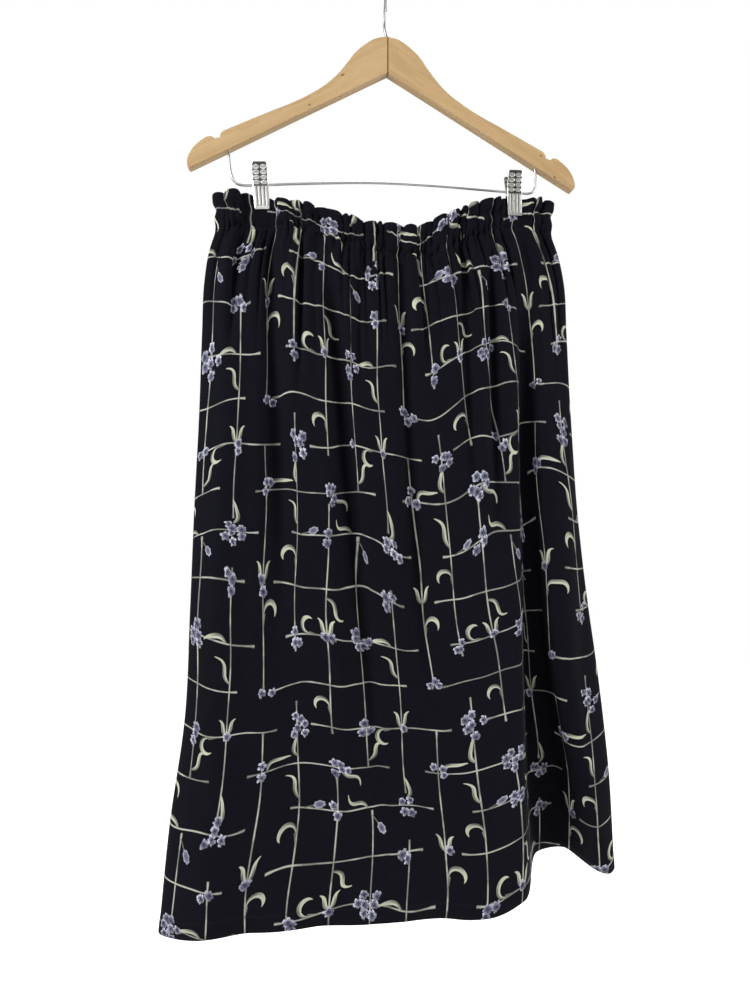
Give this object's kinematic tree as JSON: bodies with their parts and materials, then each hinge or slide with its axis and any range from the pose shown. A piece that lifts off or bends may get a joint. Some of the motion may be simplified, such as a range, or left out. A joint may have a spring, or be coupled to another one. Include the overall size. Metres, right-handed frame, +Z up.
{
  "type": "gathered midi skirt on a clip hanger",
  "caption": "Pull-on midi skirt with a gathered elastic waist and frill, hanging by two metal clips from a wooden hanger.",
  "frame": {"origin": "inside top of the hook, where the hanger bears on what it hangs from", "axes": "+Z up; the skirt's front faces -Y; +X is to the right seen from the front"},
  "size_m": [0.5264, 0.1192, 1.0544],
  "materials": {
    "printed_cloth": "matt woven viscose, near-black navy with a floral lattice print",
    "wood": "satin honey lacquer",
    "wire": "bright zinc-plated wire",
    "clip": "nickel-plated pressed steel"
  },
  "bodies": {
    "root": {"front_panel": "printed_cloth", "back_panel": "printed_cloth", "waist_casing_front": "printed_cloth", "waist_casing_back": "printed_cloth", "hanger_arm_left": "wood", "hanger_arm_right": "wood", "hook": "wire", "clip_bar": "wire", "clip_left_front": "clip", "clip_left_back": "clip", "clip_left_spring": "wire", "clip_right_front": "clip", "clip_right_back": "clip", "clip_right_spring": "wire"}
  },
  "joints": []
}
